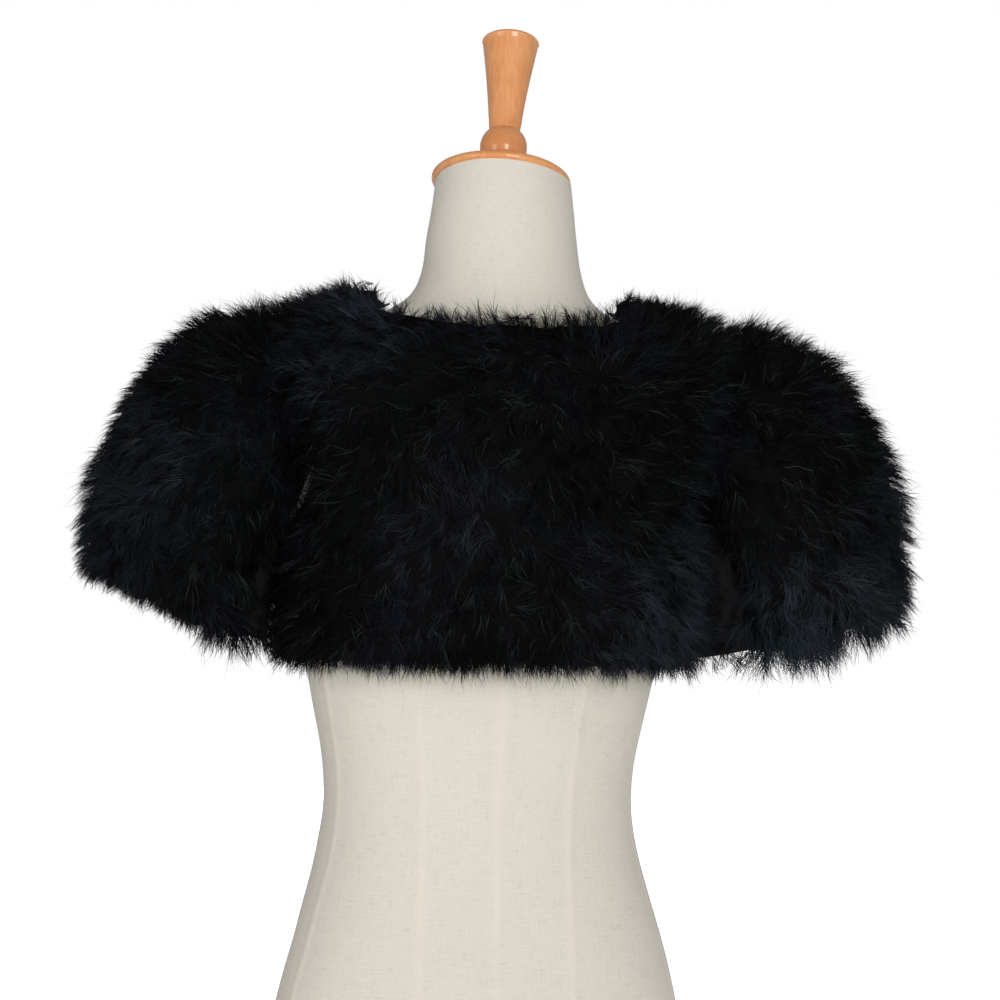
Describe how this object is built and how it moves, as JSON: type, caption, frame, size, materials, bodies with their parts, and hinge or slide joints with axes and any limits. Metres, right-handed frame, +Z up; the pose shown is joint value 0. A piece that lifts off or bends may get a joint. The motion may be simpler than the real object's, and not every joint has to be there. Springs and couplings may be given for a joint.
{
  "type": "feather bolero shrug on a dress form",
  "caption": "Short black bolero shrug with wide short sleeves, covered all over in fluffy feathers, open in front, worn by a limbless linen dress form with a turned wooden handle.",
  "frame": {"origin": "middle of the underside of the dress form's base board", "axes": "+Z up the form, +Y the way the wearer faces, so the shrug's back faces -Y and the wearer's right is +X"},
  "size_m": [0.6595, 0.2904, 0.8958],
  "materials": {
    "linen_cover": "matt unbleached linen",
    "varnished_wood": "orange tan wood, glossy varnish",
    "beech_board": "plain beech board",
    "black_base_cloth": "matt black woven cloth",
    "black_feather": "fluffy black down feather, faint blue tint"
  },
  "bodies": {
    "root": {"form_torso": "linen_cover", "form_base_board": "beech_board", "form_neck_cap": "varnished_wood", "form_handle": "varnished_wood", "back_panel": "black_base_cloth", "front_left": "black_base_cloth", "front_right": "black_base_cloth", "sleeve_left": "black_base_cloth", "sleeve_right": "black_base_cloth", "feathers_back": "black_feather", "feathers_front_left": "black_feather", "feathers_front_right": "black_feather", "feathers_sleeve_left": "black_feather", "feathers_sleeve_right": "black_feather"}
  },
  "joints": []
}
